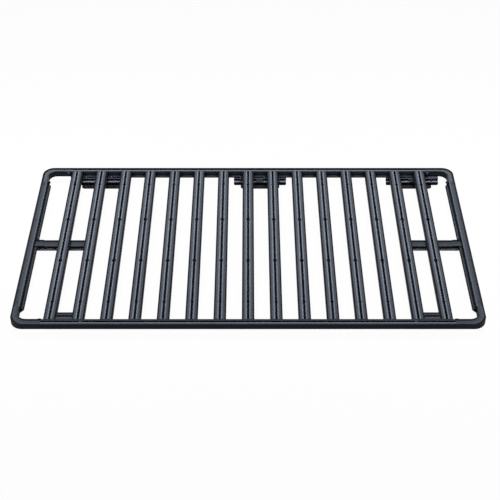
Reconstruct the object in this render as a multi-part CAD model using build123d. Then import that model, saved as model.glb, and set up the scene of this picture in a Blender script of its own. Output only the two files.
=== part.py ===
from build123d import *
import os

# A flat platform roof rack: a low rectangular frame of aluminium extrusions with cast
# corners, filled with cross slats that carry a T-slot along their tops, standing on six
# ribbed brackets with moulded feet. X runs along the long side, Y across, Z up.
# The origin is on the ground plane under the middle of the platform.

# Plan size over the outside of the frame
LENGTH = 2200.0
WIDTH = 1250.0
CORNER_R = 58.0

# Frame rails, one section for the long sides and the short ends
RAIL_W = 34.0
RAIL_H = 34.0
RAIL_WALL = 3.0
RAIL_TOP_R = 4.0
RAIL_LOW_R = 2.0
RAIL_EDGE_R = 1.5
SIDE_LEDGE_W = 14.0
END_LEDGE_W = 16.0
LEDGE_TIP_R = 3.0

# T-slot shared by the slats, the side rails and the slat ties
SLOT_NECK = 9.0
SLOT_LIP = 2.5
SLOT_W = 18.0
SLOT_H = 6.5
SLOT_FLOOR = 2.5

# Cross slats; the first one's centre is set in from the outer end of the frame
SLAT_COUNT = 15
SLAT_END = 183.0
SLAT_W = 58.0
SLAT_H = 25.0
SLAT_WALL = 2.5
SLAT_TOP_R = 5.0
SLAT_LOW_R = 2.0
KEYHOLE_D = 16.0
KEYHOLE_INNER_Y = 165.0
KEYHOLE_OUTER_IN = 155.0

# Cast corners: the reach of each leg from the outer face it turns away from
CORNER_LEG_X = 145.0
CORNER_LEG_Y = 125.0
CORNER_INNER_R = 40.0
CORNER_WALL = 4.0
CORNER_RIB = 4.0
LUG_L = 16.0
LUG_OUT = 9.0
LUG_H = 18.0
LUG_DROP = 5.0
LUG_R = 3.0

# End modules: the side rails are jointed a little inside the second slat's centre
JOINT_IN = 20.0

# Centre braces under the first two slats at each end
BRACE_W = 50.0
BRACE_H = 21.0
BRACE_WALL = 2.5
BRACE_GROOVE_H = 5.0
BRACE_GROOVE_IN = 4.0
TAB_T = 3.0
TAB_LAP = 30.0
TAB_R = 8.0

# Grooved ties between the first two slats beside the near side rail
TIE_W = 51.0
TIE_H = 20.0

# Places of the mounting brackets: in from each end, and the middle one set off centre
BRACKET_LEFT_IN = 310.0
BRACKET_RIGHT_IN = 218.0
BRACKET_MIDDLE_OFF = 64.0

# Bracket section, measured inwards from the rail's inner wall: a flange under the rail,
# a web set back below it, a shelf that steps inwards, a skirt down to the foot and a toe
BRACKET_L = 281.0
BRACKET_H = 35.0
BRACKET_T = 4.0
FLANGE_OUT = 28.0
FLANGE_IN = 22.0
FLANGE_R = 12.0
WEB_IN = 14.0
SHELF_DROP = 15.0
SHELF_IN = 32.5
SHELF_T = 3.5
SKIRT_IN = 32.0
SKIRT_R = 8.0
TOE_W = 18.0
CAST_R = 2.5
GUSSET_IN = 36.5
GUSSET_T = 5.0
BOSS_W = 36.0

# Moulded feet under the brackets, with two slots each for roof bolts
FOOT_L = 208.0
FOOT_W = 33.0
FOOT_H = 8.0
FOOT_IN = 21.0
FOOT_CHAMFER = 10.0
FOOT_SLOT_X = 65.0
FOOT_SLOT_L = 24.0
FOOT_SLOT_D = 9.0

# Levels and places that follow from the sizes above
RAIL_Z = FOOT_H + BRACKET_H
TOP_Z = RAIL_Z + RAIL_H
SLAT_Z = TOP_Z - SLAT_H
SHELF_Z = RAIL_Z - SHELF_DROP
LEDGE_TOP = -SLAT_H
INNER_X = LENGTH / 2 - RAIL_W
INNER_Y = WIDTH / 2 - RAIL_W
SEAM_X = LENGTH / 2 - CORNER_LEG_X
SEAM_Y = WIDTH / 2 - CORNER_LEG_Y
SLAT_LAST_X = LENGTH / 2 - SLAT_END
SLAT_PITCH = 2 * SLAT_LAST_X / (SLAT_COUNT - 1)
MODULE_X = SLAT_LAST_X - SLAT_PITCH - JOINT_IN
KEYHOLE_OUTER_Y = WIDTH / 2 - KEYHOLE_OUTER_IN
GUSSET_X = BRACKET_L / 2 - GUSSET_IN
BRACKET_PLACES = {
    "left": BRACKET_LEFT_IN - LENGTH / 2,
    "middle": BRACKET_MIDDLE_OFF,
    "right": LENGTH / 2 - BRACKET_RIGHT_IN,
}

parts = {}


def area(u0, u1, v0, v1):
    """A rectangle between two corners of a section."""
    return Pos((u0 + u1) / 2, (v0 + v1) / 2) * Rectangle(u1 - u0, v1 - v0)


def block(x0, x1, y0, y1, z0, z1):
    """A box between two opposite corners."""
    centre = Pos((x0 + x1) / 2, (y0 + y1) / 2, (z0 + z1) / 2)
    return centre * Box(x1 - x0, y1 - y0, z1 - z0)


def rounded(section, corners, radius):
    """Round the section's corners that lie nearest the given points."""
    picked = ShapeList([section.vertices().sort_by_distance((u, v, 0))[0] for u, v in corners])
    return fillet(picked, radius)


def both_sides(section):
    """A section feature together with its mirror image about the middle."""
    return section + mirror(section, Plane.YZ)


def t_slot(middle):
    """The T-slot's opening, seen along its run, with its mouth at height 0."""
    neck = area(middle - SLOT_NECK / 2, middle + SLOT_NECK / 2, -SLOT_LIP - SLOT_H / 2, SLOT_LIP)
    channel = area(middle - SLOT_W / 2, middle + SLOT_W / 2, -SLOT_LIP - SLOT_H, -SLOT_LIP)
    return neck + channel


def rail_outline(ledge_w):
    """Rail section: u runs outwards from the inner wall, v is measured from the top."""
    outline = area(0, RAIL_W, -RAIL_H, 0) + area(-ledge_w, RAIL_W / 2, -RAIL_H, LEDGE_TOP)
    outline = rounded(outline, [(RAIL_W, 0)], RAIL_TOP_R)
    outline = rounded(outline, [(RAIL_W, -RAIL_H)], RAIL_LOW_R)
    outline = rounded(outline, [(-ledge_w, LEDGE_TOP), (-ledge_w, -RAIL_H)], LEDGE_TIP_R)
    return rounded(outline, [(0, 0)], RAIL_EDGE_R)


def side_rail_section():
    """Side rail: a T-slot along the middle of the top over one long chamber."""
    chamber_top = -SLOT_LIP - SLOT_H - SLOT_FLOOR
    chamber = area(RAIL_WALL, RAIL_W - RAIL_WALL, -RAIL_H + RAIL_WALL, chamber_top)
    return rail_outline(SIDE_LEDGE_W) - t_slot(RAIL_W / 2) - chamber


def end_rail_section():
    """End rail: a plain top over one long chamber."""
    chamber = area(RAIL_WALL, RAIL_W - RAIL_WALL, -RAIL_H + RAIL_WALL, -RAIL_WALL)
    return rail_outline(END_LEDGE_W) - chamber


def side_rail(x0, x1):
    """One length of the far side rail."""
    ends = Plane(origin=(x0, INNER_Y, TOP_Z), x_dir=(0, 1, 0), z_dir=(1, 0, 0))
    return extrude(ends * side_rail_section(), x1 - x0)


def end_rail():
    """The right end rail, its ledge cut back at 45 degrees beside the corners."""
    ends = Plane(origin=(INNER_X, SEAM_Y, TOP_Z), x_dir=(1, 0, 0), z_dir=(0, -1, 0))
    rail = extrude(ends * end_rail_section(), 2 * SEAM_Y)
    tip = INNER_X - END_LEDGE_W
    for side in (1, -1):
        wedge = Polygon(
            (INNER_X, side * SEAM_Y),
            (tip, side * SEAM_Y),
            (tip, side * (SEAM_Y - END_LEDGE_W)),
            align=None,
        )
        rail -= Pos(0, 0, RAIL_Z) * extrude(wedge, RAIL_H - SLAT_H, dir=(0, 0, 1))
    return rail


def frame_ring(inset, height):
    """The frame's plan as one closed ring, drawn in from both walls."""
    outer = RectangleRounded(LENGTH - 2 * inset, WIDTH - 2 * inset, CORNER_R - inset)
    hole_x = 2 * (INNER_X + inset)
    hole_y = 2 * (INNER_Y + inset)
    inner = RectangleRounded(hole_x, hole_y, CORNER_INNER_R + inset)
    return extrude(outer - inner, height)


def on_outer_face(edge):
    """True where an edge of the corner runs along the frame's outside."""
    mid = edge @ 0.5
    over_x = mid.X - (LENGTH / 2 - CORNER_R)
    over_y = mid.Y - (WIDTH / 2 - CORNER_R)
    inside = CORNER_R - RAIL_W / 2
    if over_x > 0 and over_y > 0:
        return (over_x ** 2 + over_y ** 2) ** 0.5 > inside
    from_seam = min(mid.X - SEAM_X, mid.Y - SEAM_Y)
    return max(over_x, over_y) > inside and from_seam > 2 * CORNER_WALL


def corner_lugs():
    """Bolt lugs on the corner's inner walls, close to both seams."""
    low = TOP_Z - LUG_DROP - LUG_H
    high = TOP_Z - LUG_DROP
    by_side = block(SEAM_X, SEAM_X + LUG_L, INNER_Y - LUG_OUT, INNER_Y, low, high)
    by_end = block(INNER_X - LUG_OUT, INNER_X, SEAM_Y, SEAM_Y + LUG_L, low, high)
    lugs = []
    for lug, face_axis in ((by_side, Axis.Y), (by_end, Axis.X)):
        front = lug.faces().sort_by(face_axis)[0]
        lugs.append(fillet(front.edges().filter_by(Axis.Z), LUG_R))
    return lugs


def corner():
    """The far right corner: a shelled casting, open below, with end walls, a rib and lugs."""
    ring = Pos(0, 0, RAIL_Z) * frame_ring(0, RAIL_H)
    body = ring & block(SEAM_X, LENGTH, SEAM_Y, WIDTH, RAIL_Z, TOP_Z)
    rim = [e for e in body.edges().group_by(Axis.Z)[-1] if on_outer_face(e)]
    body = fillet(rim, RAIL_TOP_R)
    base = [e for e in body.edges().group_by(Axis.Z)[0] if on_outer_face(e)]
    body = fillet(base, RAIL_LOW_R)
    hollow = Pos(0, 0, RAIL_Z) * frame_ring(CORNER_WALL, RAIL_H - CORNER_WALL)
    room_x = SEAM_X + CORNER_WALL
    room_y = SEAM_Y + CORNER_WALL
    hollow &= block(room_x, LENGTH, room_y, WIDTH, RAIL_Z, TOP_Z)
    bend_centre = Pos(LENGTH / 2 - CORNER_R, WIDTH / 2 - CORNER_R, RAIL_Z + RAIL_H / 2)
    rib = bend_centre * Rot(0, 0, 45) * Box(2 * CORNER_R, CORNER_RIB, RAIL_H)
    body -= hollow - rib
    for lug in corner_lugs():
        body += lug
    return body


def slat_section():
    """Cross slat: three chambers below and beside a T-slot."""
    half = SLAT_W / 2
    outline = area(-half, half, -SLAT_H, 0)
    outline = rounded(outline, [(-half, 0), (half, 0)], SLAT_TOP_R)
    outline = rounded(outline, [(-half, -SLAT_H), (half, -SLAT_H)], SLAT_LOW_R)
    chamber_in = SLOT_W / 2 + SLAT_WALL
    chamber_out = half - SLAT_WALL
    side_room = area(chamber_in, chamber_out, -SLAT_H + SLAT_WALL, -SLAT_WALL)
    side_room = rounded(side_room, [(chamber_out, -SLAT_WALL)], SLAT_TOP_R - SLAT_WALL)
    low_room = area(-SLOT_W / 2, SLOT_W / 2, -SLAT_H + SLAT_WALL, -SLOT_LIP - SLOT_H - SLOT_FLOOR)
    return outline - t_slot(0) - both_sides(side_room) - low_room


def slat(x):
    """One cross slat with four holes where a bolt's head drops into the slot."""
    ends = Plane(origin=(x, INNER_Y, TOP_Z), x_dir=(1, 0, 0), z_dir=(0, -1, 0))
    bar = extrude(ends * slat_section(), 2 * INNER_Y)
    drill = Cylinder(KEYHOLE_D / 2, SLOT_LIP + SLOT_H / 2, align=(Align.CENTER, Align.CENTER, Align.MAX))
    for y in (-KEYHOLE_OUTER_Y, -KEYHOLE_INNER_Y, KEYHOLE_INNER_Y, KEYHOLE_OUTER_Y):
        bar -= Pos(x, y, TOP_Z) * drill
    return bar


def brace():
    """The right centre brace: a low grooved box with a tab that laps on to the end ledge."""
    half = BRACE_W / 2
    mid = -BRACE_H / 2
    groove_in = half - BRACE_GROOVE_IN
    groove = area(groove_in, half, mid - BRACE_GROOVE_H / 2, mid + BRACE_GROOVE_H / 2)
    room_out = groove_in - BRACE_WALL
    room = area(-room_out, room_out, -BRACE_H + BRACE_WALL, -BRACE_WALL)
    section = area(-half, half, -BRACE_H, 0) - both_sides(groove) - room
    ends = Plane(origin=(MODULE_X, 0, SLAT_Z), x_dir=(0, 1, 0), z_dir=(1, 0, 0))
    bar = extrude(ends * section, INNER_X - END_LEDGE_W - MODULE_X)
    lap = INNER_X - END_LEDGE_W - TAB_LAP
    tab = block(lap, INNER_X, -half, half, SLAT_Z, SLAT_Z + TAB_T)
    return bar + fillet(tab.edges().filter_by(Axis.Z).group_by(Axis.X)[0], TAB_R)


def slat_tie():
    """The near right tie: a grooved block that bridges two slats and sits on the ledge."""
    x0 = SLAT_LAST_X - SLAT_PITCH + SLAT_W / 2
    x1 = SLAT_LAST_X - SLAT_W / 2
    section = area(0, TIE_W, -TIE_H, 0) - t_slot(TIE_W / 2)
    ends = Plane(origin=(x0, -INNER_Y, SLAT_Z + TIE_H), x_dir=(0, 1, 0), z_dir=(1, 0, 0))
    return extrude(ends * section, x1 - x0)


def bracket_run(x, section, length):
    """A length of the far bracket's section, centred on x; u runs inwards from the rail."""
    ends = Plane(origin=(x + length / 2, INNER_Y, 0), x_dir=(0, -1, 0), z_dir=(-1, 0, 0))
    return extrude(ends * section, length, dir=(-1, 0, 0))


def bracket_section():
    """Stepped profile of a bracket: flange, web, shelf and skirt, with cast inner corners."""
    profile = area(-FLANGE_OUT, FLANGE_IN, RAIL_Z - BRACKET_T, RAIL_Z)
    profile += area(WEB_IN - BRACKET_T, WEB_IN, SHELF_Z - SHELF_T, RAIL_Z)
    profile += area(WEB_IN - BRACKET_T, SHELF_IN, SHELF_Z - SHELF_T, SHELF_Z)
    profile += area(SKIRT_IN - BRACKET_T, SKIRT_IN, FOOT_H, SHELF_Z)
    back = WEB_IN - BRACKET_T
    under_flange = RAIL_Z - BRACKET_T
    profile = rounded(profile, [(WEB_IN, under_flange), (WEB_IN, SHELF_Z), (back, under_flange)], CAST_R)
    return rounded(profile, [(back, SHELF_Z - SHELF_T), (SKIRT_IN - BRACKET_T, SHELF_Z - SHELF_T)], CAST_R)


def bracket(x):
    """A far-side bracket: the stepped profile with two gussets, a boss and a toe on the foot."""
    body = bracket_run(x, bracket_section(), BRACKET_L)
    body = fillet(body.edges().filter_by(Axis.Z).group_by(Axis.Y)[-1], FLANGE_R)
    body = fillet(body.edges().filter_by(Axis.Y).group_by(Axis.Z)[0], SKIRT_R)
    rib = Polygon(
        (WEB_IN - BRACKET_T / 2, RAIL_Z),
        (FLANGE_IN, RAIL_Z),
        (SHELF_IN, SHELF_Z),
        (SHELF_IN, SHELF_Z - SHELF_T / 2),
        (WEB_IN - BRACKET_T / 2, SHELF_Z - SHELF_T / 2),
        align=None,
    )
    for place, width in ((-GUSSET_X, GUSSET_T), (0, BOSS_W), (GUSSET_X, GUSSET_T)):
        body += bracket_run(x + place, rib, width)
    toe = area(SKIRT_IN - TOE_W, SKIRT_IN, FOOT_H, FOOT_H + BRACKET_T)
    return body + bracket_run(x, toe, FOOT_L)


def foot(x):
    """A far-side moulded foot with chamfered ends and two slots for roof bolts."""
    outer = INNER_Y - FOOT_IN
    inner = outer - FOOT_W
    pad = block(x - FOOT_L / 2, x + FOOT_L / 2, inner, outer, 0, FOOT_H)
    pad = chamfer(pad.edges().filter_by(Axis.Z).group_by(Axis.Y)[0], FOOT_CHAMFER)
    slot_y = (inner + INNER_Y - SKIRT_IN) / 2
    for side in (-1, 1):
        cut = extrude(SlotOverall(FOOT_SLOT_L, FOOT_SLOT_D), FOOT_H)
        pad -= Pos(x + side * FOOT_SLOT_X, slot_y, 0) * cut
    return pad


def across(shape):
    """The same piece on the other long side."""
    return mirror(shape, Plane.XZ)


def along(shape):
    """The same piece at the other end."""
    return mirror(shape, Plane.YZ)


# Side rails in three lengths a side, and the two end rails
far_rails = {
    "left": side_rail(-SEAM_X, -MODULE_X),
    "middle": side_rail(-MODULE_X, MODULE_X),
    "right": side_rail(MODULE_X, SEAM_X),
}
for place, rail in far_rails.items():
    parts["side_rail_far_" + place] = rail
    parts["side_rail_near_" + place] = across(rail)
parts["end_rail_right"] = end_rail()
parts["end_rail_left"] = along(parts["end_rail_right"])

# Corner castings
far_corner = corner()
parts["corner_far_right"] = far_corner
parts["corner_far_left"] = along(far_corner)
parts["corner_near_right"] = across(far_corner)
parts["corner_near_left"] = across(along(far_corner))

# Slats, numbered from the left
for index in range(SLAT_COUNT):
    parts["slat_%02d" % (index + 1)] = slat(index * SLAT_PITCH - SLAT_LAST_X)

# Centre braces and slat ties
parts["brace_right"] = brace()
parts["brace_left"] = along(parts["brace_right"])
parts["slat_tie_near_right"] = slat_tie()
parts["slat_tie_near_left"] = along(parts["slat_tie_near_right"])

# Brackets with their feet
for place, x in BRACKET_PLACES.items():
    arm = bracket(x)
    shoe = foot(x)
    parts["bracket_far_" + place] = arm
    parts["bracket_near_" + place] = across(arm)
    parts["foot_far_" + place] = shoe
    parts["foot_near_" + place] = across(shoe)

os.makedirs("parts", exist_ok=True)
for name, shape in parts.items():
    shape.label = name
    export_step(shape, "parts/%s.step" % name)
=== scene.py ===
# %% [markdown]
# A flat platform roof rack is mostly straight metal: fifteen slats in a low frame with
# rounded corners, on six brackets. The solids come from the CAD model as they are, and
# Blender adds what CAD leaves out: the finish, the fasteners, the light and the camera.
# Loading the frame first means that every later place can be read from a real solid
# instead of being typed in twice.

# %% Load the solids
import math

import bpy
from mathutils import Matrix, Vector


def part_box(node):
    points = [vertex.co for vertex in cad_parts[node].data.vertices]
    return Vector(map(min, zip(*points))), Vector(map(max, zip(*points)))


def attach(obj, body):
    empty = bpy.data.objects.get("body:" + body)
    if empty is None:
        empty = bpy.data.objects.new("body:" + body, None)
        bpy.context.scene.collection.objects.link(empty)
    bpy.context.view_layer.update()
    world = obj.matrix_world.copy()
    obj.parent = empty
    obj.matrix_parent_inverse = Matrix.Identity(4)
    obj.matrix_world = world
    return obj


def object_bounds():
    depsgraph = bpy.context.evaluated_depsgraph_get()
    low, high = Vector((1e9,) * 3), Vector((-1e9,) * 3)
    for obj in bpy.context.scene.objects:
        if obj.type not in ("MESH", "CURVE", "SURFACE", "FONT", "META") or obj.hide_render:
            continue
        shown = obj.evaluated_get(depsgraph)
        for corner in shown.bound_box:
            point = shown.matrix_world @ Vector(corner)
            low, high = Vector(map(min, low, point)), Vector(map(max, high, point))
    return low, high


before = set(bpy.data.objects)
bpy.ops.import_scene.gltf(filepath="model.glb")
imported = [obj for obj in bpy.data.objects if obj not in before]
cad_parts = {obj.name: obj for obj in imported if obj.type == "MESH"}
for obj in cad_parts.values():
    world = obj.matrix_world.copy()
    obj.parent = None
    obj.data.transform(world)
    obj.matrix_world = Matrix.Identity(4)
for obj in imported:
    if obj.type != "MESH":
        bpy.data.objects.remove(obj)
cad_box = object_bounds()
MM = 0.001
top_z = cad_box[1].z
print("solids:", len(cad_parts), "size in metres:", [round(v, 3) for v in cad_box[1] - cad_box[0]])

# %% [markdown]
# The photograph looks down on one long side from a few metres away. A camera can be
# found by trial, but fifteen evenly spaced slats are a ruler: their edges fix the lens,
# the distance and the tilt. A small lens shift then moves the rack to its place in the
# picture without turning the view.

# %% Camera
VIEW_TILT = math.radians(38.30)
VIEW_DISTANCE = 6.0185
SENSOR_MM = 36.0
LENS_MM = 86.81
CLIP_FAR = 100
SHIFT_X = 0.0038
SHIFT_Y = -0.02122

bpy.ops.object.camera_add()
camera = bpy.context.active_object
camera.name = "photo_camera"
camera.location = (0, -VIEW_DISTANCE * math.cos(VIEW_TILT), top_z + VIEW_DISTANCE * math.sin(VIEW_TILT))
camera.rotation_euler = (math.pi / 2 - VIEW_TILT, 0, 0)
camera.data.sensor_width = SENSOR_MM
camera.data.lens = LENS_MM
camera.data.shift_x = SHIFT_X
camera.data.shift_y = SHIFT_Y
camera.data.clip_end = CLIP_FAR
bpy.context.scene.camera = camera
print("camera at", [round(v, 3) for v in camera.location])

# %% [markdown]
# The rack stands on a plain white ground that shows hardly any shadow. A floor lit to
# pure white would also throw white light back up under the rails, so the floor shows
# itself white to the camera and to reflections, and stays a dark grey for the light
# that bounces. A thin share of ordinary diffuse is left in, which keeps a faint shadow.
# Materials are built from nodes here, so a few short helpers come first.

# %% Floor
FLOOR_REACH = 40.0
SHADOW_SHARE = 0.03
FLOOR_BOUNCE = (0.07, 0.07, 0.07, 1.0)
FLOOR_SEEN = (0.92, 0.92, 0.92, 1.0)


def wire(tree, source, target):
    """Join two sockets of a node tree."""
    tree.links.new(source, target)


def new_node(tree, kind, **settings):
    """Add a node and set its plain settings."""
    node = tree.nodes.new(kind)
    for key, value in settings.items():
        setattr(node, key, value)
    return node


def seen_ray(tree):
    """A value of 1 for rays of the camera, of gloss and of glass, and 0 for bounced light."""
    path = new_node(tree, "ShaderNodeLightPath")
    first = new_node(tree, "ShaderNodeMath", operation="MAXIMUM")
    second = new_node(tree, "ShaderNodeMath", operation="MAXIMUM")
    wire(tree, path.outputs["Is Camera Ray"], first.inputs[0])
    wire(tree, path.outputs["Is Glossy Ray"], first.inputs[1])
    wire(tree, first.outputs[0], second.inputs[0])
    wire(tree, path.outputs["Is Transmission Ray"], second.inputs[1])
    return second.outputs[0]


bpy.ops.object.select_all(action="DESELECT")
bpy.ops.mesh.primitive_plane_add(size=FLOOR_REACH, location=(0, 0, 0))
floor = bpy.context.active_object
floor.name = "floor"

floor_paint = bpy.data.materials.new("floor_white")
floor_paint.use_nodes = True
tree = floor_paint.node_tree
tree.nodes.clear()
seen = seen_ray(tree)
share = new_node(tree, "ShaderNodeMath", operation="MULTIPLY")
share.inputs[1].default_value = 1.0 - SHADOW_SHARE
tint = new_node(tree, "ShaderNodeMix", data_type="RGBA")
tint.inputs["A"].default_value = FLOOR_BOUNCE
tint.inputs["B"].default_value = FLOOR_SEEN
matt = new_node(tree, "ShaderNodeBsdfDiffuse")
glow = new_node(tree, "ShaderNodeEmission")
blend = new_node(tree, "ShaderNodeMixShader")
ground = new_node(tree, "ShaderNodeOutputMaterial")
wire(tree, seen, share.inputs[0])
wire(tree, seen, tint.inputs["Factor"])
wire(tree, tint.outputs["Result"], matt.inputs["Color"])
wire(tree, share.outputs[0], blend.inputs["Fac"])
wire(tree, matt.outputs[0], blend.inputs[1])
wire(tree, glow.outputs[0], blend.inputs[2])
wire(tree, blend.outputs[0], ground.inputs["Surface"])
floor.data.materials.append(floor_paint)
print("floor", FLOOR_REACH, "m wide, shadow share", SHADOW_SHARE)

# %% [markdown]
# The world does the same: it is white where it is seen or mirrored, and gives only a weak
# even fill to the rack, so that the lamps shape it.

# %% World
SKY_FILL = 0.05

world = bpy.data.worlds.new("studio")
world.use_nodes = True
bpy.context.scene.world = world
tree = world.node_tree
tree.nodes.clear()
level = new_node(tree, "ShaderNodeMapRange")
level.inputs["To Min"].default_value = SKY_FILL
level.inputs["To Max"].default_value = 1.0
sky = new_node(tree, "ShaderNodeBackground")
sky.inputs["Color"].default_value = (1, 1, 1, 1)
air = new_node(tree, "ShaderNodeOutputWorld")
wire(tree, seen_ray(tree), level.inputs["Value"])
wire(tree, level.outputs["Result"], sky.inputs["Strength"])
wire(tree, sky.outputs[0], air.inputs["Surface"])
print("sky fill", SKY_FILL)

# %% [markdown]
# In the photograph the tops of the slats are clear grey and every upright face is nearly
# black, so the light falls straight down. It is a touch stronger at the two ends and on
# the far side. One wide bare panel would light the walls of the slats from the side and
# the near half as much as the far one. Two panels over the far half, each above its own
# end and with a narrow spread, do what honeycomb grids do on studio lamps. Weak panels
# all round, close to the ground, keep the outer faces of the frame from going flat.

# %% Studio light
GRID = math.radians(66)
BARE = math.radians(120)
RACK_MIDDLE = (0, 0, top_z)
# The place, target, size, spread and power of each panel.
PANELS = {
    "left_panel": ((-1.5, 0.35, 4.0), (-1.3, 0.35, top_z), (1.8, 1.6), GRID, 22.0),
    "right_panel": ((1.5, 0.35, 4.0), (1.3, 0.35, top_z), (1.8, 1.6), GRID, 22.0),
    "front_panel": ((-0.6, -5.5, 3.0), RACK_MIDDLE, (3.0, 1.2), BARE, 14.0),
    "rear_panel": ((0, 5.5, 1.0), RACK_MIDDLE, (3.0, 1.2), BARE, 14.0),
    "left_low_panel": ((-6.0, 0, 0.8), RACK_MIDDLE, (2.0, 1.0), BARE, 12.0),
    "right_low_panel": ((6.0, 0, 0.8), RACK_MIDDLE, (2.0, 1.0), BARE, 12.0),
}
for name, (place, target, size, spread, watts) in PANELS.items():
    bpy.ops.object.light_add(type="AREA", location=place)
    panel = bpy.context.active_object
    panel.name = name
    panel.data.shape = "RECTANGLE"
    panel.data.size = size[0]
    panel.data.size_y = size[1]
    panel.data.spread = spread
    panel.data.energy = watts
    aim = Vector(target) - Vector(place)
    panel.rotation_euler = aim.to_track_quat("-Z", "Y").to_euler()
bpy.context.scene.view_settings.view_transform = "Standard"
print("panels:", sorted(PANELS))

# %% [markdown]
# The metal wears a matt powder coat: a dark blue-grey skin with a fine sandy texture.
# A plain colour would look like plastic, so slow patches of tone, faint lines left by
# the extrusion die and a fine grain in the bump are layered. All patterns read Object
# coordinates in metres, so their scale is real. A few helpers keep the node trees short.

# %% Helpers for finishes
NOISE_RANGE = (0.2, 0.8)


def start_finish(name):
    """A new material, with its node tree, its shader and the object's own coordinates."""
    finish = bpy.data.materials.new(name)
    finish.use_nodes = True
    tree = finish.node_tree
    place = new_node(tree, "ShaderNodeTexCoord").outputs["Object"]
    return finish, tree, tree.nodes["Principled BSDF"], place


def noise(tree, source, scale, detail, stretch=(1, 1, 1)):
    """A noise value over the object's own coordinates, stretched along an axis."""
    mapping = new_node(tree, "ShaderNodeMapping")
    mapping.inputs["Scale"].default_value = stretch
    texture = new_node(tree, "ShaderNodeTexNoise")
    texture.inputs["Scale"].default_value = scale
    texture.inputs["Detail"].default_value = detail
    wire(tree, source, mapping.inputs["Vector"])
    wire(tree, mapping.outputs["Vector"], texture.inputs["Vector"])
    return texture.outputs["Fac"]


def ranged(tree, value, low, high, out_low, out_high):
    """Map one range of a value on to another, clamped."""
    node = new_node(tree, "ShaderNodeMapRange")
    for socket, number in zip(("From Min", "From Max", "To Min", "To Max"), (low, high, out_low, out_high)):
        node.inputs[socket].default_value = number
    wire(tree, value, node.inputs["Value"])
    return node.outputs["Result"]


def mixed(tree, factor, first, second, kind="MIX"):
    """Mix two colours, each a colour or a socket, by a number or a socket."""
    node = new_node(tree, "ShaderNodeMix", data_type="RGBA", blend_type=kind)
    for socket, value in (("Factor", factor), ("A", first), ("B", second)):
        if isinstance(value, (float, tuple)):
            node.inputs[socket].default_value = value
        else:
            wire(tree, value, node.inputs[socket])
    return node.outputs["Result"]


def add_bump(tree, shader, relief, strength, depth):
    """Roughen the surface by a relief that is so many metres deep."""
    bump = new_node(tree, "ShaderNodeBump")
    bump.inputs["Strength"].default_value = strength
    bump.inputs["Distance"].default_value = depth
    wire(tree, relief, bump.inputs["Height"])
    wire(tree, bump.outputs["Normal"], shader.inputs["Normal"])


print("helpers ready")

# %% [markdown]
# The tone of the metal also changes over each section, and this tone is painted light and
# shade: a painted highlight on the lips of a slot, black painted shade at the bottom of a
# slot, and dark painted shade on the rounded outer edges. Painting each line by hand would
# take a mask for every piece. Instead, a list of stops gives the tone at so many millimetres
# from a line of the section: one list for the faces that look up and one for the walls,
# which are painted darker as shade. Slats and rails come first. The two side rails share
# one list, the far one moved on by a fixed shift, so the painted highlight lies on the lip
# on the viewer's side of each slot.

# %% Painted light and shade of the slats and rails
# Painted highlights on the slot lips, painted shade on the rounded rims, and the left land painted a little
# lighter than the right, as if lit from the left.
SLAT_TOP = (
    (-29.5, 0.06), (-24, 0.10), (-22.5, 0.3), (-20, 0.95), (-15, 1.05),
    (-13, 1.3), (-10.5, 2.6), (-8, 2.9), (-6.3, 1.9), (-4.6, 0.3),
    (4.6, 0.3), (6.3, 1.9), (8, 2.8), (10, 2.4), (12.5, 1.1),
    (16, 0.9), (20.5, 0.85), (23, 0.25), (24.5, 0.08), (29.5, 0.06),
)
# The walls of a slat are painted dark as shade.
SLAT_WALL = ((52, 0.3), (77, 0.3))
# The lip on the viewer's side of each side rail's slot carries a painted highlight, and the other side of
# the slot painted shade.
SIDE_LIP = (
    (-31, 0.6), (-18, 0.5), (-17, 0.8), (-14, 0.95),
    (-11, 2.1), (-8.5, 2.5), (-6.5, 1.6), (-4.7, 0.3),
)
NEAR_TOP = SIDE_LIP + ((4.7, 0.2), (6.5, 0.65), (9, 0.75), (12, 0.45), (17, 0.2), (31, 0.5))
FAR_TOP = SIDE_LIP + ((4.7, 0.1), (17, 0.12))
FAR_SHIFT = 80
SIDE_TOP = NEAR_TOP + tuple((at + FAR_SHIFT, tone) for at, tone in FAR_TOP)
# Side rail walls: painted shade low down and a painted highlight along the rounded top edge.
SIDE_WALL = ((43, 0.15), (46, 0.3), (49, 0.7), (70, 0.7), (74, 1.3), (77, 1.5))
# End rails: a painted highlight along the inner top edge, painted shade on the ledge beside the wall and on
# the rounded outer rim.
END_TOP = (
    (-16.5, 0.05), (-13, 0.1), (-10, 1.1), (-3, 0.9), (-0.5, 0.2), (0.2, 0.5),
    (2.5, 2.1), (6, 1.4), (10, 1.0), (20, 0.9), (26, 0.25), (34, 0.10),
)
# The inner wall of an end rail is painted darker than the outer one, as shade.
END_WALL = ((-16.5, 0.3), (4, 0.3), (20, 0.7), (34, 0.7))
print("stops on a slat:", len(SLAT_TOP), "on the side rails:", len(SIDE_TOP))

# %% [markdown]
# The small pieces and the corners have stops of their own, again painted light and shade.
# A brace is painted lightest on the viewer's side and ends in the painted highlight on the
# lip of its cover. A far corner has a dark rim of painted shade along its outer edge and a
# near corner one along its inner edge. Both rims are wider on the long side than on the
# end, so each has two reaches.

# %% Painted light and shade of the small pieces and corners
# Painted highlights on both cover lips, the viewer's half painted lighter and the far half painted dark as
# shade.
BRACE_TOP = (
    (-31, 2.4), (-25.4, 2.4), (-25, 0.15), (-23.5, 0.4), (-21, 0.9), (-15, 0.8),
    (-6, 0.65), (9, 0.6), (12, 0.08), (25, 0.05), (25.4, 2.4), (31, 2.4),
)
# Brace walls: painted shade, with a thin painted highlight line just below the groove.
BRACE_WALL = (
    (28, 0.1), (37, 0.1), (38, 0.25), (39, 0.25),
    (40, 0.05), (44, 0.05), (45, 0.25), (52, 0.25),
)
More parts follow.
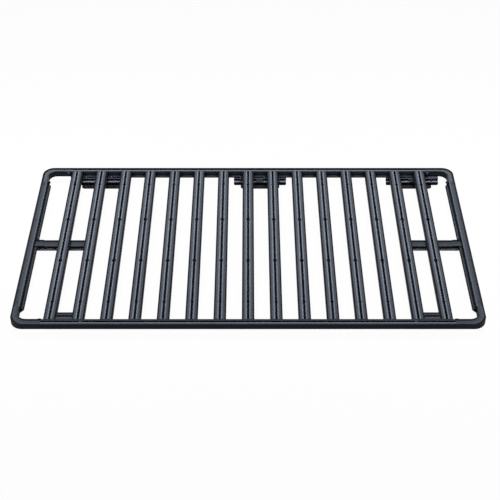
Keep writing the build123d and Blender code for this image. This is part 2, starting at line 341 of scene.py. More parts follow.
# Ties: black painted shade in the slot and a dark painted rim along the side away from the rail.
TIE_TOP = (
    (-25.5, 0.8), (-5.7, 1.0), (-5.3, 0.04), (5.3, 0.04),
    (5.7, 0.7), (16, 0.5), (19, 0.1), (25.5, 0.06),
)
TIE_WALL = ((52, 0.25), (72, 0.25))
# Brackets: the shelf 27 to 30 mm up carries a painted highlight and the walls painted shade.
BRACKET_TOP = ((8, 0.6), (26, 0.6), (27, 2.5), (30, 2.5), (31, 0.85), (43, 0.85))
BRACKET_WALL = ((8, 0.10), (27, 0.10), (43, 0.12))
# Near corners: a dark rim of painted shade along the inner edge and another along the outer edge, with the
# inner walls painted dark.
NEAR_CORNER_TOP = (
    (-21, 0.9), (-13, 0.9), (-11, 0.05), (-1, 0.05), (2, 0.7),
    (10, 0.8), (23, 1.1), (26, 0.2), (34, 0.08),
)
NEAR_CORNER_WALL = ((-21, 0.3), (-11, 0.06), (3, 0.06), (12, 0.8), (33, 0.9))
# Far corners: a painted highlight just inside a dark rim of painted shade along the outer edge; the top of
# the wall is painted dark too.
FAR_CORNER_TOP = ((-30, 0.8), (-15, 1.0), (-8, 1.5), (-1.5, 1.4), (1.5, 0.08), (20, 0.04))
FAR_CORNER_WALL = ((43, 0.15), (46, 0.3), (49, 0.6), (71, 0.6), (74, 0.1), (77, 0.05))
FAR_RIM = (12 * MM, 21 * MM)
NEAR_RIM = (1 * MM, 11 * MM)
RIM_R = 45 * MM
print("rims in millimetres:", [round(reach / MM) for reach in FAR_RIM + NEAR_RIM])

# %% [markdown]
# The stops need a distance to read. A texture could hold it, but a few steps of arithmetic
# on the point's own place are exact. The lines to measure from are read from the solids:
# the middle of a slat, the slots of the side rails and ties and the walls of the end
# rails. The slats repeat at an even pitch, so a measure folded at that pitch serves all.

# %% Distances from the lines of a section
first_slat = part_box("slat_01")
second_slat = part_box("slat_02")
near_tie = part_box("slat_tie_near_left")
slat_pitch = second_slat[0].x - first_slat[0].x
inner_y = first_slat[1].y
inner_x = cad_box[1].x - (cad_box[1].y - inner_y)
slot_y = (inner_y + cad_box[1].y) / 2
tie_slot_y = (near_tie[0].y + near_tie[1].y) / 2


def math_node(tree, operation, value, *others):
    """One step of arithmetic on a socket; the others are numbers or sockets."""
    node = new_node(tree, "ShaderNodeMath", operation=operation)
    wire(tree, value, node.inputs[0])
    for index, other in enumerate(others):
        if isinstance(other, float):
            node.inputs[index + 1].default_value = other
        else:
            wire(tree, other, node.inputs[index + 1])
    return node.outputs[0]


def off_slat(tree, split):
    """Distance from the middle line of the nearest slat, below zero on its left."""
    return math_node(tree, "WRAP", split.outputs["X"], slat_pitch / 2, -slat_pitch / 2)


def off_side_slot(tree, split):
    """Distance from the slot of the nearer side rail, below zero on the viewer's side of it."""
    from_far = math_node(tree, "SUBTRACT", split.outputs["Y"], slot_y)
    return math_node(tree, "WRAP", from_far, slot_y, -slot_y)


def off_side_rail(tree, split):
    """The same, moved on by the fixed shift on the far rail, so that one ramp holds both rails."""
    shift, start = FAR_SHIFT * MM, FAR_SHIFT * MM / 2
    from_near = math_node(tree, "ADD", split.outputs["Y"], slot_y)
    return math_node(tree, "WRAP", from_near, 2 * slot_y - shift - start, -start)


def off_end_wall(tree, split):
    """Distance outwards from the inner wall of an end rail."""
    return math_node(tree, "SUBTRACT", math_node(tree, "ABSOLUTE", split.outputs["X"]), inner_x)


def off_centre(tree, split):
    """Distance from the centre line that the braces follow, below zero on the viewer's side."""
    return split.outputs["Y"]


def off_tie_slot(tree, split):
    """Distance from the slot of a tie, above zero away from the rail."""
    return math_node(tree, "SUBTRACT", split.outputs["Y"], tie_slot_y)


def height(tree, split):
    """Height above the ground."""
    return split.outputs["Z"]


print("pitch", round(slat_pitch, 4), "slot at y", round(slot_y, 4), "end wall at x", round(inner_x, 4))

# %% [markdown]
# Two shapes are not straight lines. The painted dark rim of a corner follows a rectangle
# with rounded corners, and the drop-in holes of a slat, ringed with painted shade, are
# round. Both come down to the length of a short arrow, found from its two sides.

# %% Distances from round shapes
HOLE_Y = 165 * MM
HOLE_LONG = 0.7


def arrow_length(tree, sides):
    """Length of an arrow from its two sides."""
    squares = [math_node(tree, "MULTIPLY", side, side) for side in sides]
    return math_node(tree, "SQRT", math_node(tree, "ADD", *squares))


def off_rounded(tree, split, edges):
    """Distance outwards from a rectangle that turns each corner on a round arc."""
    sides = []
    for axis, edge in zip(("X", "Y"), edges):
        past = math_node(tree, "SUBTRACT", math_node(tree, "ABSOLUTE", split.outputs[axis]), edge - RIM_R)
        sides.append(math_node(tree, "MAXIMUM", past, 0.0))
    return math_node(tree, "SUBTRACT", arrow_length(tree, sides), RIM_R)


def off_outer_rim(tree, split):
    """Distance outwards from the line where the painted dark outer rim of a far corner begins."""
    return off_rounded(tree, split, (cad_box[1].x - FAR_RIM[0], cad_box[1].y - FAR_RIM[1]))


def off_inner_rim(tree, split):
    """Distance outwards from the line where the painted dark inner rim of a near corner ends."""
    return off_rounded(tree, split, (inner_x + NEAR_RIM[0], inner_y + NEAR_RIM[1]))


def off_hole(tree, split):
    """Distance from the nearer inner hole of a slat, shortened along the slat."""
    along = math_node(tree, "SUBTRACT", math_node(tree, "ABSOLUTE", split.outputs["Y"]), HOLE_Y)
    along = math_node(tree, "MULTIPLY", along, HOLE_LONG)
    return arrow_length(tree, (along, off_slat(tree, split)))


print("holes at y", HOLE_Y, "rim radius", RIM_R)

# %% [markdown]
# A colour ramp turns a distance into a grey. The direction of a face chooses its ramp:
# one for faces that look up, one for walls, and a plain tone for undersides, so that the
# light and shade painted by facing follow each face. Slots turn black below their lips, and
# a black ring is laid round each inner drop-in hole, both as painted shade. A ramp holds
# tones up to 1, so they are divided here and multiplied back in the coat.

# %% Painted light and shade over the section
TONE_TOP = 3.0
UNDER_TONE = 0.8
UPWARD = (0.3, 0.8)
# Black painted shade in the slots below their lips and in a ring round each inner drop-in hole.
PAINTED_SLOT_SHADE = (0.03, 0.03, 0.03, 1.0)
SLOT_REACH = 9.5 * MM
SLOT_DEPTH = (6 * MM, 18 * MM)
HOLE_RING = (8 * MM, 11 * MM)


def grey(tone):
    """A tone as the grey of a ramp."""
    return (tone / TONE_TOP, tone / TONE_TOP, tone / TONE_TOP, 1.0)


def ramp(tree, value, stops):
    """A grey along stops of millimetres and tone."""
    low, high = stops[0][0], stops[-1][0]
    node = new_node(tree, "ShaderNodeValToRGB")
    wire(tree, ranged(tree, value, low * MM, high * MM, 0.0, 1.0), node.inputs["Fac"])
    elements = node.color_ramp.elements
    elements[0].position = 0.0
    elements[1].position = 1.0
    for at, _ in stops[1:-1]:
        elements.new((at - low) / (high - low))
    for element, (_, tone) in zip(elements, stops):
        element.color = grey(tone)
    return node.outputs["Color"]


def painted_section_shading(tree, place, top_way, tops, wall_way, walls, slot_way=None, hole_way=None):
    """A painted grey of light and shade: one ramp on faces that look up, another on walls, black painted
    shade in slots and holes.
    """
    split = new_node(tree, "ShaderNodeSeparateXYZ")
    wire(tree, place, split.inputs["Vector"])
    facing = new_node(tree, "ShaderNodeSeparateXYZ")
    wire(tree, new_node(tree, "ShaderNodeNewGeometry").outputs["Normal"], facing.inputs["Vector"])
    upward = ranged(tree, facing.outputs["Z"], *UPWARD, 0.0, 1.0)
    downward = ranged(tree, facing.outputs["Z"], -UPWARD[1], -UPWARD[0], 1.0, 0.0)
    tone = mixed(tree, downward, ramp(tree, wall_way(tree, split), walls), grey(UNDER_TONE))
    tone = mixed(tree, upward, tone, ramp(tree, top_way(tree, split), tops))
    if slot_way is not None:
        beside = math_node(tree, "LESS_THAN", math_node(tree, "ABSOLUTE", slot_way(tree, split)), SLOT_REACH)
        middle = top_z - sum(SLOT_DEPTH) / 2
        below = math_node(tree, "COMPARE", height(tree, split), middle, (SLOT_DEPTH[1] - SLOT_DEPTH[0]) / 2)
        tone = mixed(tree, math_node(tree, "MULTIPLY", beside, below), tone, PAINTED_SLOT_SHADE)
    if hole_way is not None:
        tone = mixed(tree, ranged(tree, hole_way(tree, split), *HOLE_RING, 1.0, 0.0), tone, PAINTED_SLOT_SHADE)
    return tone


print("tones up to", TONE_TOP, "undersides", UNDER_TONE)

# %% [markdown]
# The coat itself layers the slow patches, the die lines and the painted light and shade of
# the section. It takes a level for a whole piece. An occlusion mask darkens deep recesses
# as painted shade, except on small pieces that stand in recesses anyway.

# %% Powder coat
COAT_DARK = (0.078, 0.089, 0.110)
COAT_LIGHT = (0.092, 0.104, 0.129)
COAT_SHINE = 0.03
PATCHES = (5.0, 3.0)
PATCH_RANGE = (0.3, 0.7)
LINES = (1.0, 2.0)
LINE_RANGE = (0.45, 0.75)
LINE_SHARE = 0.5
GRAIN = (1500.0, 2.0)
GRAIN_BUMP = (0.25, 0.3 * MM)
ROUGH_SPREAD = (-0.05, 0.06)
# Painted shade laid into deep recesses by the occlusion mask.
RECESS_SHADE = (0.10, 0.10, 0.11, 1.0)
RECESS_REACH = 30 * MM
RECESS_RANGE = (0.40, 0.80)


def shaded(colour, level):
    """A colour taken up or down by a level."""
    return tuple(level * channel for channel in colour) + (1.0,)


def powder_coat(name, run, roughness, level, section, recess):
    """The matt coat with the painted light and shade of its section and recesses; run stretches the die
    lines along the piece.
    """
    coat, tree, shader, place = start_finish(name)
    patches = noise(tree, place, *PATCHES)
    lines = noise(tree, place, *LINES, run)
    dark, light = shaded(COAT_DARK, level * TONE_TOP), shaded(COAT_LIGHT, level * TONE_TOP)
    tone = mixed(tree, ranged(tree, patches, *PATCH_RANGE, 0.0, 1.0), dark, light)
    tone = mixed(tree, ranged(tree, lines, *LINE_RANGE, 0.0, LINE_SHARE), tone, light)
    tone = mixed(tree, 1.0, tone, painted_section_shading(tree, place, *section), "MULTIPLY")
    # Painted shade in deep recesses, by occlusion.
    if recess:
        shade = new_node(tree, "ShaderNodeAmbientOcclusion", samples=6)
        shade.inputs["Distance"].default_value = RECESS_REACH
        depth = ranged(tree, shade.outputs["AO"], *RECESS_RANGE, 1.0, 0.0)
        tone = mixed(tree, depth, tone, RECESS_SHADE, "MULTIPLY")
    wire(tree, tone, shader.inputs["Base Color"])
    rough = [roughness + spread for spread in ROUGH_SPREAD]
    wire(tree, ranged(tree, lines, *NOISE_RANGE, *rough), shader.inputs["Roughness"])
    shader.inputs["Specular IOR Level"].default_value = COAT_SHINE
    add_bump(tree, shader, noise(tree, place, *GRAIN), *GRAIN_BUMP)
    return coat


print("coat from", COAT_DARK, "to", COAT_LIGHT)

# %% [markdown]
# One coat for the whole rack would run the die lines the wrong way on half of it. Each
# kind of piece gets its own: the direction in which it was drawn, its roughness, its level,
# the measures and stops of its painted light and shade, and whether recesses get painted shade.

# %% A coat for each kind of piece
ALONG_X = (1.2, 260, 260)
ALONG_Y = (260, 1.2, 260)
CAST = (45, 45, 45)
SECTIONS = {
    "rail_coat": (off_side_rail, SIDE_TOP, height, SIDE_WALL, off_side_slot),
    "end_coat": (off_end_wall, END_TOP, off_end_wall, END_WALL),
    "slat_coat": (off_slat, SLAT_TOP, height, SLAT_WALL, off_slat, off_hole),
    "corner_coat": (off_inner_rim, NEAR_CORNER_TOP, off_inner_rim, NEAR_CORNER_WALL),
    "far_corner_coat": (off_outer_rim, FAR_CORNER_TOP, height, FAR_CORNER_WALL),
    "brace_coat": (off_centre, BRACE_TOP, height, BRACE_WALL),
    "tie_coat": (off_tie_slot, TIE_TOP, height, TIE_WALL),
    "bracket_coat": (height, BRACKET_TOP, height, BRACKET_WALL),
}
# The name, die lines, roughness and level of each coat, and whether recesses get painted shade.
COATS = (
    ("rail_coat", ALONG_X, 0.50, 1.0, True),
    ("end_coat", ALONG_Y, 0.50, 0.88, True),
    ("slat_coat", ALONG_Y, 0.48, 1.0, True),
    ("corner_coat", CAST, 0.54, 1.0, True),
    ("far_corner_coat", CAST, 0.54, 1.0, True),
    ("brace_coat", ALONG_X, 0.50, 1.0, False),
    ("tie_coat", ALONG_X, 0.50, 1.0, False),
    ("bracket_coat", CAST, 0.56, 1.0, False),
)
finishes = {}
for name, run, roughness, level, recess in COATS:
    finishes[name] = powder_coat(name, run, roughness, level, SECTIONS[name], recess)
print("coats:", sorted(finishes))

# %% [markdown]
# The feet are moulded rubber, matt and almost black, with a slight mottle where the
# mould was dusted. Rubber has no clear highlight, so roughness carries the look. The same
# recipe with other numbers gives the moulded plastic further on.

# %% Rubber
RUBBER_BLACK = (0.010, 0.010, 0.011, 1.0)
RUBBER_DUSTED = (0.024, 0.024, 0.026, 1.0)
MOULDED_SHINE = 0.2


def moulded(name, dark, light, mottle, rough, grain, bump):
    """A moulded finish; mottle and grain are a scale and a detail, bump a strength and a depth."""
    finish, tree, shader, place = start_finish(name)
    drift = noise(tree, place, *mottle)
    wire(tree, mixed(tree, drift, dark, light), shader.inputs["Base Color"])
    wire(tree, ranged(tree, drift, *NOISE_RANGE, *rough), shader.inputs["Roughness"])
    shader.inputs["Specular IOR Level"].default_value = MOULDED_SHINE
    add_bump(tree, shader, noise(tree, place, *grain), *bump)
    return finish


finishes["foot_rubber"] = moulded(
    "foot_rubber", RUBBER_BLACK, RUBBER_DUSTED,
    mottle=(60.0, 4.0), rough=(0.72, 0.86), grain=(900.0, 2.0), bump=(0.3, 0.4 * MM),
)
print("rubber added, finishes:", len(finishes))

# %% [markdown]
# Each solid gets the finish of its kind by its name. The CAD meshes are left alone: only
# the material in their first slot changes.

# %% Dress the solids
KINDS = (
    ("side_rail", "rail_coat"),
    ("end_rail", "end_coat"),
    ("corner_far", "far_corner_coat"),
    ("corner_near", "corner_coat"),
    ("slat_tie", "tie_coat"),
    ("slat", "slat_coat"),
    ("brace", "brace_coat"),
    ("bracket", "bracket_coat"),
    ("foot", "foot_rubber"),
)
dressed = {}
for name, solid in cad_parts.items():
    finish = next(coat for kind, coat in KINDS if name.startswith(kind))
    solid.data.materials.clear()
    solid.data.materials.append(finishes[finish])
    dressed[finish] = dressed.get(finish, 0) + 1
print("dressed:", dressed)

# %% [markdown]
# The bolts and screws are steel with a dark phosphate skin, rubbed bright on the edges
# where a key has turned them. Metal takes its look from what it mirrors, so the colour
# stays grey and the roughness is broken up by a fine, even noise. The edges are found by
# comparing a normal that is rounded off near an edge with the true one.

# %% Dark steel
STEEL_DARK = (0.085, 0.085, 0.092, 1.0)
STEEL_LIGHT = (0.145, 0.145, 0.155, 1.0)
STEEL_RUBBED = (0.32, 0.32, 0.33, 1.0)
STEEL_ROUGH = (0.34, 0.52)
SKIN = (700.0, 3.0)
EDGE_RANGE = (0.75, 0.995)
RUB_REACH = 0.6 * MM
RUB_SHARE = 0.7


def edge_mask(tree, radius):
    """1 on sharp edges and 0 on flat faces."""
    soft = new_node(tree, "ShaderNodeBevel", samples=4)
    soft.inputs["Radius"].default_value = radius
    true = new_node(tree, "ShaderNodeNewGeometry")
    dot = new_node(tree, "ShaderNodeVectorMath", operation="DOT_PRODUCT")
    wire(tree, soft.outputs["Normal"], dot.inputs[0])
    wire(tree, true.outputs["Normal"], dot.inputs[1])
    return ranged(tree, dot.outputs["Value"], *EDGE_RANGE, 1.0, 0.0)


def dark_steel(name):
    """Phosphated steel: patchy grey metal with brighter rubbed edges."""
    steel, tree, shader, place = start_finish(name)
    skin = noise(tree, place, *SKIN)
    rubbed = ranged(tree, edge_mask(tree, RUB_REACH), 0.0, 1.0, 0.0, RUB_SHARE)
    tone = mixed(tree, rubbed, mixed(tree, skin, STEEL_DARK, STEEL_LIGHT), STEEL_RUBBED)
    wire(tree, tone, shader.inputs["Base Color"])
    wire(tree, ranged(tree, skin, *NOISE_RANGE, *STEEL_ROUGH), shader.inputs["Roughness"])
    shader.inputs["Metallic"].default_value = 1.0
    return steel


finishes["bolt_steel"] = dark_steel("bolt_steel")
print("steel added, finishes:", len(finishes))

# %% [markdown]
# The round pieces all start as a disc whose top face is then worked. By hand one would
# click on that face; in a script it is found by its height and its normal. These few
# moves are used by every bolt, screw and plug.

# %% Moves for round pieces
SMOOTH_ANGLE = math.radians(35)
LEVEL = 0.9
TOUCH = 1e-6


def disc(name, radius, depth, sides, base=0.0):
    """A disc on the upright axis from its base up, with its place in its mesh."""
    middle = (0, 0, base + depth / 2)
    bpy.ops.object.select_all(action="DESELECT")
    bpy.ops.mesh.primitive_cylinder_add(vertices=sides, radius=radius, depth=depth, location=middle)
    piece = bpy.context.active_object
    piece.name = name
    bpy.ops.object.transform_apply(location=True, rotation=True, scale=True)
    return piece


def pick_top(piece):
    """Enter edit mode with just the highest level face selected."""
    bpy.ops.object.mode_set(mode="OBJECT")
    peak = max(corner.co.z for corner in piece.data.vertices)
    for kind in (piece.data.vertices, piece.data.edges, piece.data.polygons):
        kind.foreach_set("select", [False] * len(kind))
    for face in piece.data.polygons:
        face.select = face.normal.z > LEVEL and face.center.z > peak - TOUCH
    bpy.ops.object.mode_set(mode="EDIT")
    bpy.ops.mesh.select_mode(type="FACE")


def raise_face(rise):
    """Extrude the selected face straight up, or down where the rise is negative."""
    bpy.ops.mesh.extrude_region_move(TRANSFORM_OT_translate={"value": (0, 0, rise)})


def finish_round():
    """Leave edit mode and smooth the flat facets."""
    bpy.ops.object.mode_set(mode="OBJECT")
    bpy.ops.object.shade_smooth_by_angle(angle=SMOOTH_ANGLE)


print("moves ready")

# %% [markdown]
# A socket bolt is a turned head with a six-sided key hole. It could be bought in as a
# library part; here one is modelled by hand, because the steps are short and the size
# can follow the rack: a flange disc, a head pulled up out of it, a bevelled rim and a
# socket pushed down. The ring round the socket starts as a circle, and its points are
# slid outwards or inwards until they lie on a hexagon.

# %% Socket bolt
BOLT_SIDES = 24
FLANGE_SHARE = 0.16
RIM_BEVEL = 0.14
SOCKET_INSET = 0.15
SOCKET_SHARE = 0.45
HEX_STEP = math.pi / 3


def sink_socket(bolt, key, depth):
    """Cut a hexagonal key hole in the middle of the top face."""
    pick_top(bolt)
    bpy.ops.mesh.inset(thickness=key * SOCKET_INSET)
    bpy.ops.object.mode_set(mode="OBJECT")
    for corner in bolt.data.vertices:
        if corner.select:
            turn = math.atan2(corner.co.y, corner.co.x)
            reach = key / 2 / math.cos((turn + HEX_STEP / 2) % HEX_STEP - HEX_STEP / 2)
            corner.co.x = reach * math.cos(turn)
            corner.co.y = reach * math.sin(turn)
    bpy.ops.object.mode_set(mode="EDIT")
    raise_face(-depth)
    finish_round()


def socket_bolt(name, flange, head, tall, key):
    """A cap bolt on its own flange, standing on the origin; flange and head are radii."""
    flange_t = tall * FLANGE_SHARE
    bolt = disc(name, flange, flange_t, BOLT_SIDES)
    pick_top(bolt)
    bpy.ops.mesh.inset(thickness=flange - head)
    raise_face(tall - flange_t)
    pick_top(bolt)
    bpy.ops.mesh.bevel(offset=head * RIM_BEVEL, segments=2, affect="EDGES")
    sink_socket(bolt, key, tall * SOCKET_SHARE)
    return bolt


cap_bolt = socket_bolt("cap_bolt", flange=4.3 * MM, head=3.9 * MM, tall=11 * MM, key=4 * MM)
flange_bolt = socket_bolt("flange_bolt", flange=9 * MM, head=6.5 * MM, tall=6.5 * MM, key=6 * MM)
print("cap bolt faces:", len(cap_bolt.data.polygons), "flange bolt faces:", len(flange_bolt.data.polygons))

# %% [markdown]
# The lighter screws have a low domed head. The dome is the same disc raised in three
# short steps, each a little narrower than the last; smooth shading rounds what is left.
# Twelve sides are enough, as there are many of them and they are seen from afar.

# %% Button screw
SCREW_SIDES = 12
BUTTON_RIM = 0.3
DOME_STEPS = ((0.34, 0.90), (0.24, 0.84), (0.12, 0.80))
BUTTON_SOCKET = 0.5


def button_screw(name, head, tall, key):
    """A domed screw head standing on the origin; head is its radius."""
    screw = disc(name, head, tall * BUTTON_RIM, SCREW_SIDES)
    for rise, narrowing in DOME_STEPS:
        pick_top(screw)
        raise_face(tall * rise)
        bpy.ops.transform.resize(value=(narrowing, narrowing, 1), center_override=(0, 0, 0))
    sink_socket(screw, key, tall * BUTTON_SOCKET)
    return screw


lug_screw = button_screw("lug_screw", head=5.5 * MM, tall=4.2 * MM, key=3.2 * MM)
ledge_screw = button_screw("ledge_screw", head=4.0 * MM, tall=2.6 * MM, key=2.4 * MM)
print("button screw faces:", len(ledge_screw.data.polygons))

# %% [markdown]
# Every fastener stands where two pieces are held together: on the lugs of the corners,
# under the ledges where a screw goes up into the end of each slat, under the covers of the
# braces, on the brace tabs and on the flanges of the brackets. The places are read from
# the boxes of the solids, so a fastener always sits on the face that carries it.

# %% Measures for the fasteners
UP, DOWN = (0, 0, 1), (0, 0, -1)
SIDES = {"far": 1, "near": -1}
ENDS = {"left": -1, "right": 1}
LUG_FROM_SEAM = 8 * MM
LUG_FACE = 9 * MM
LUG_MID_DROP = 14 * MM
LEDGE_MID = 7 * MM
SCREW_PAIR = 16 * MM
BRACKET_MARGIN = 8 * MM
FLANGE_T = 4 * MM
FLANGE_BOLT_OUT = 14 * MM
FLANGE_BOLTS = (-115 * MM, -45 * MM, 45 * MM, 115 * MM)
STRIP_BOLT_IN = 18.3 * MM
STRIP_BOLTS = {"left": (-79 * MM, 54 * MM), "middle": (-105 * MM, 23.5 * MM), "right": (-89 * MM, 39 * MM)}
TAB_BOLT = Vector((10.5 * MM, 41 * MM, 0))
BRACE_PAIR = 12 * MM
COVER_DROP = 3 * MM

rail_low, rail_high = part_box("side_rail_far_middle")
end_low, end_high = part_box("end_rail_right")
seam_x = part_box("side_rail_far_right")[1].x
seam_y = end_high.y
ledge_z = first_slat[0].z
under_rail = rail_low.z
slats = [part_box(name) for name in sorted(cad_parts) if name.startswith("slat_") and "tie" not in name]
brackets = {}
for side in SIDES:
    for place in STRIP_BOLTS:
        brackets[side, place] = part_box("bracket_%s_%s" % (side, place))
print("inner wall at x", round(inner_x, 3), "y", round(inner_y, 3), "slats:", len(slats))

# %% [markdown]
# A place and a facing are noted for every fastener before anything is copied. Screws under
# a ledge are left out where a bracket's flange would cover them.

# %% Places of the fasteners
def over_bracket(x):
    """True where a bracket's flange covers the ledge from below."""
    return any(low.x - BRACKET_MARGIN < x < high.x + BRACKET_MARGIN for low, high in brackets.values())


lug_spots = []
ledge_spots = []
strip_spots = []
flange_spots = []
tab_spots = []
for across in SIDES.values():
    for along in ENDS.values():
        side_lug = (along * (seam_x + LUG_FROM_SEAM), across * (inner_y - LUG_FACE), top_z - LUG_MID_DROP)
        end_lug = (along * (inner_x - LUG_FACE), across * (seam_y + LUG_FROM_SEAM), top_z - LUG_MID_DROP)
        lug_spots.append((side_lug, (0, -across, 0)))
        lug_spots.append((end_lug, (-along, 0, 0)))
    for low, high in slats:
        for shift in (-SCREW_PAIR, SCREW_PAIR):
            x = (low.x + high.x) / 2 + shift
            if not over_bracket(x):
                ledge_spots.append(((x, across * (inner_y - LEDGE_MID), under_rail), DOWN))
for (side, place), (low, high) in brackets.items():
    across = SIDES[side]
    middle = (low.x + high.x) / 2
    for shift in STRIP_BOLTS[place]:
        strip_spots.append(((middle + shift, across * (inner_y - STRIP_BOLT_IN), under_rail), UP))
    for shift in FLANGE_BOLTS:
        bolt_y = across * (inner_y + FLANGE_BOLT_OUT)
        flange_spots.append(((middle + shift, bolt_y, under_rail - FLANGE_T), DOWN))
for end, along in ENDS.items():
    tab_spots.append(((along * (inner_x - TAB_BOLT.x), TAB_BOLT.y, ledge_z), UP))
    cover_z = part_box("brace_" + end)[0].z - COVER_DROP
    for low, high in (slats[:2] if end == "left" else slats[-2:]):
        for across in (-1, 1):
            ledge_spots.append((((low.x + high.x) / 2, across * BRACE_PAIR, cover_z), DOWN))
print("lugs:", len(lug_spots), "ledges:", len(ledge_spots), "strips:", len(strip_spots))
print("flanges:", len(flange_spots), "tabs:", len(tab_spots))

# %% [markdown]
# Instances would keep the scene light, but the finished rack wants real meshes. Copies of
# one kind are turned, applied and joined, which keeps the object list short. The joined
# piece is dressed and told that it rides on the rack.

# %% Set the fasteners
def gather(pieces, name, slot):
    """Join loose pieces, dress them and let them ride on the rack."""
    bpy.ops.object.select_all(action="DESELECT")
    for piece in pieces:
        piece.select_set(True)
    bpy.context.view_layer.objects.active = pieces[0]
    bpy.ops.object.transform_apply(location=True, rotation=True, scale=True)
    bpy.ops.object.join()
    group = bpy.context.active_object
    group.name = name
    group.data.name = name
    group.data.materials.clear()
    group.data.materials.append(finishes[slot])
    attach(group, "root")


def set_in_place(master, name, slot, spots):
    """Copy a master to each place and facing, and gather the copies."""
    copies = []
    for place, facing in spots:
        bpy.ops.object.select_all(action="DESELECT")
        master.select_set(True)
        bpy.context.view_layer.objects.active = master
        bpy.ops.object.duplicate()
        copy = bpy.context.active_object
        copy.location = place
        copy.rotation_euler = Vector(facing).to_track_quat("Z", "Y").to_euler()
        copies.append(copy)
    gather(copies, name, slot)


set_in_place(lug_screw, "corner_lug_screws", "corner_coat", lug_spots)
set_in_place(ledge_screw, "slat_screws", "bolt_steel", ledge_spots)
set_in_place(cap_bolt, "bracket_cap_bolts", "bolt_steel", strip_spots)
set_in_place(flange_bolt, "bracket_flange_bolts", "bolt_steel", flange_spots)
set_in_place(lug_screw, "brace_tab_screws", "bolt_steel", tab_spots)
for master in (lug_screw, ledge_screw, cap_bolt, flange_bolt):
    bpy.data.objects.remove(master)
spot_lists = (lug_spots, ledge_spots, strip_spots, flange_spots, tab_spots)
print("fasteners:", sum(len(spots) for spots in spot_lists))

# %% [markdown]
# The tops of the end rails carry four round plugs each, in line with the round holes of
# the slats. Such a plug is a moulded cap pressed almost flush into a hole: a thin disc
# with a softened rim and a shallow dish. A decal could give the dark spot, but a real
# rim also catches light when the rack is seen from close by.

# %% Plugs of the end rails
PLASTIC_DARK = (0.018, 0.020, 0.025, 1.0)
PLASTIC_LIGHT = (0.028, 0.031, 0.038, 1.0)
PLUG_SIDES = 32
PLUG_R = 8 * MM
PLUG_T = 1.2 * MM
PLUG_PROUD = 0.2 * MM
PLUG_BEVEL = 0.12 * MM
PLUG_RIM = 1.6 * MM
PLUG_DISH = (0.5 * MM, 0.12 * MM)
PLUG_Y = (-474 * MM, -161 * MM, 161 * MM, 474 * MM)
finishes["plug_plastic"] = moulded(
    "plug_plastic", PLASTIC_DARK, PLASTIC_LIGHT,
    mottle=(90.0, 3.0), rough=(0.55, 0.68), grain=(1200.0, 2.0), bump=(0.2, 0.2 * MM),
)
plug = disc("plug", PLUG_R, PLUG_T, PLUG_SIDES, -PLUG_T)
pick_top(plug)
bpy.ops.mesh.bevel(offset=PLUG_BEVEL, segments=2, affect="EDGES")
pick_top(plug)
bpy.ops.mesh.inset(thickness=PLUG_RIM)
bpy.ops.mesh.inset(thickness=PLUG_DISH[0], depth=-PLUG_DISH[1])
finish_round()
rail_mid = (inner_x + end_high.x) / 2
plug_spots = [((along * rail_mid, y, top_z + PLUG_PROUD), UP) for along in ENDS.values() for y in PLUG_Y]
set_in_place(plug, "end_rail_plugs", "plug_plastic", plug_spots)
bpy.data.objects.remove(plug)
print("plugs:", len(plug_spots))

# %% [markdown]
# The remaining pieces start as a block instead of a disc. It is pulled to its size where it
# belongs, and its edges are softened at the end, because no moulded or drawn edge is sharp.

# %% Moves for blocks
def block(size, place):
    """A cube pulled to a size at a place, with both in its mesh."""
    bpy.ops.object.select_all(action="DESELECT")
    bpy.ops.mesh.primitive_cube_add(size=1, location=place)
    piece = bpy.context.active_object
    piece.scale = size
    bpy.ops.object.transform_apply(location=True, rotation=True, scale=True)
    return piece


def soften_edges(piece, width):
    """Round the edges of the active piece by a bevel that is applied at once."""
    bpy.ops.object.mode_set(mode="OBJECT")
    soften = piece.modifiers.new("soften", "BEVEL")
    soften.width = width
    soften.segments = 2
    bpy.ops.object.modifier_apply(modifier="soften")


print("moves ready")

# %% [markdown]
# Where two lengths of the near side rail meet, a short T-shaped insert closes the slot.
# Its section is the slot's own with a little play: a block for the channel whose top is
# drawn narrow and pulled up into the neck. It sits wholly in the short length, so the
# long slot stays free from joint to joint.

# %% Slot inserts
INSERT_L = 14 * MM
CHANNEL = (17.4 * MM, 6.0 * MM)
NECK = (8.6 * MM, 2.4 * MM)
INSERT_CLEAR = 0.2 * MM
INSERT_SOFT = 0.4 * MM
joint_x = rail_high.x
insert = block((INSERT_L, CHANNEL[0], CHANNEL[1]), (0, 0, -NECK[1] - CHANNEL[1] / 2))
pick_top(insert)
raise_face(0)
bpy.ops.transform.resize(value=(1, NECK[0] / CHANNEL[0], 1), center_override=(0, 0, 0))
raise_face(NECK[1])
soften_edges(insert, INSERT_SOFT)
insert_spots = []
for along in ENDS.values():
    insert_spots.append(((along * (joint_x + INSERT_L / 2), -slot_y, top_z - INSERT_CLEAR), UP))
set_in_place(insert, "slot_inserts", "tie_coat", insert_spots)
bpy.data.objects.remove(insert)
print("slot inserts:", len(insert_spots))

# %% [markdown]
# The ledge of an end rail is cut off before it reaches the corner, and a moulded cap with
# a slanting face closes the cut. It could be drawn as a flat outline and pulled up; a
# block is quicker here, because only its wall side has to be made longer and slid along.
# The two sides of the rack are mirror images, so each cap is shaped where it belongs.

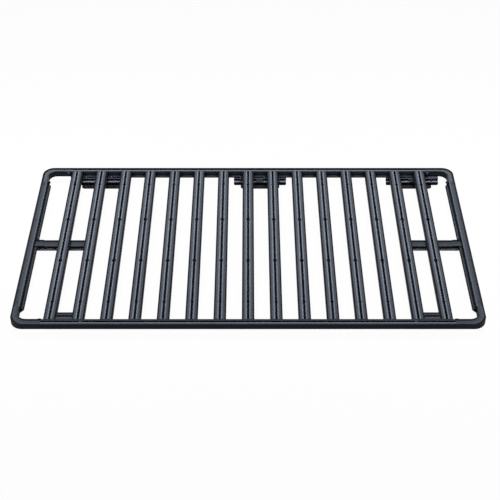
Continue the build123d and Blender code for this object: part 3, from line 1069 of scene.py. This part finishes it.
# %% Ledge caps
CAP_TIP = 9 * MM
CAP_FOOT = 13 * MM
CAP_SLANT = 18 * MM
CAP_PLAY = 0.3 * MM
CAP_SOFT = 0.8 * MM
ledge_w = inner_x - end_low.x
cap_h = ledge_z - under_rail - 2 * CAP_PLAY
cap_y = seam_y - ledge_w + CAP_TIP / 2


def ledge_cap(along, across):
    """One cap: a block whose wall side is longer and further out than its tip."""
    middle = (along * (inner_x - ledge_w / 2), across * cap_y, (ledge_z + under_rail) / 2)
    cap = block((ledge_w - 2 * CAP_PLAY, CAP_TIP, cap_h), middle)
    bpy.ops.object.mode_set(mode="EDIT")
    bpy.ops.mesh.select_all(action="DESELECT")
    bpy.ops.object.mode_set(mode="OBJECT")
    for corner in cap.data.vertices:
        corner.select = along * (corner.co.x - middle[0]) > 0
    bpy.ops.object.mode_set(mode="EDIT")
    bpy.ops.transform.resize(value=(1, CAP_FOOT / CAP_TIP, 1), center_override=middle)
    bpy.ops.transform.translate(value=(0, across * CAP_SLANT, 0))
    soften_edges(cap, CAP_SOFT)
    return cap


caps = [ledge_cap(along, across) for along in ENDS.values() for across in SIDES.values()]
gather(caps, "ledge_caps", "plug_plastic")
print("ledge caps:", len(caps), "ledge width", round(ledge_w, 4))

# %% [markdown]
# A cover strip closes each brace from below. It is a little wider than the brace and runs
# on under the ledge, so from above it shows as a thin lip along both sides, painted light by
# the brace coat, with a dark edge of painted shade under it. A flat block with softened edges
# is all it takes.

# %% Brace covers
COVER_LIP = 5 * MM
COVER_TOP = 5.7 * MM
COVER_T = COVER_TOP + COVER_DROP
COVER_LAP = 10 * MM
COVER_SOFT = 1.0 * MM
covers = []
for end, along in ENDS.items():
    low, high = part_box("brace_" + end)
    inside = min(abs(low.x), abs(high.x))
    outside = inner_x - ledge_w + COVER_LAP
    size = (outside - inside, high.y - low.y + 2 * COVER_LIP, COVER_T)
    cover = block(size, (along * (inside + outside) / 2, 0, low.z + COVER_TOP - COVER_T / 2))
    soften_edges(cover, COVER_SOFT)
    covers.append(cover)
gather(covers, "brace_covers", "brace_coat")
print("brace covers:", len(covers))

# %% [markdown]
# The pieces added in Blender stay inside the solids' box, apart from the rims of the plugs.

# %% Finish
print("scene finished")
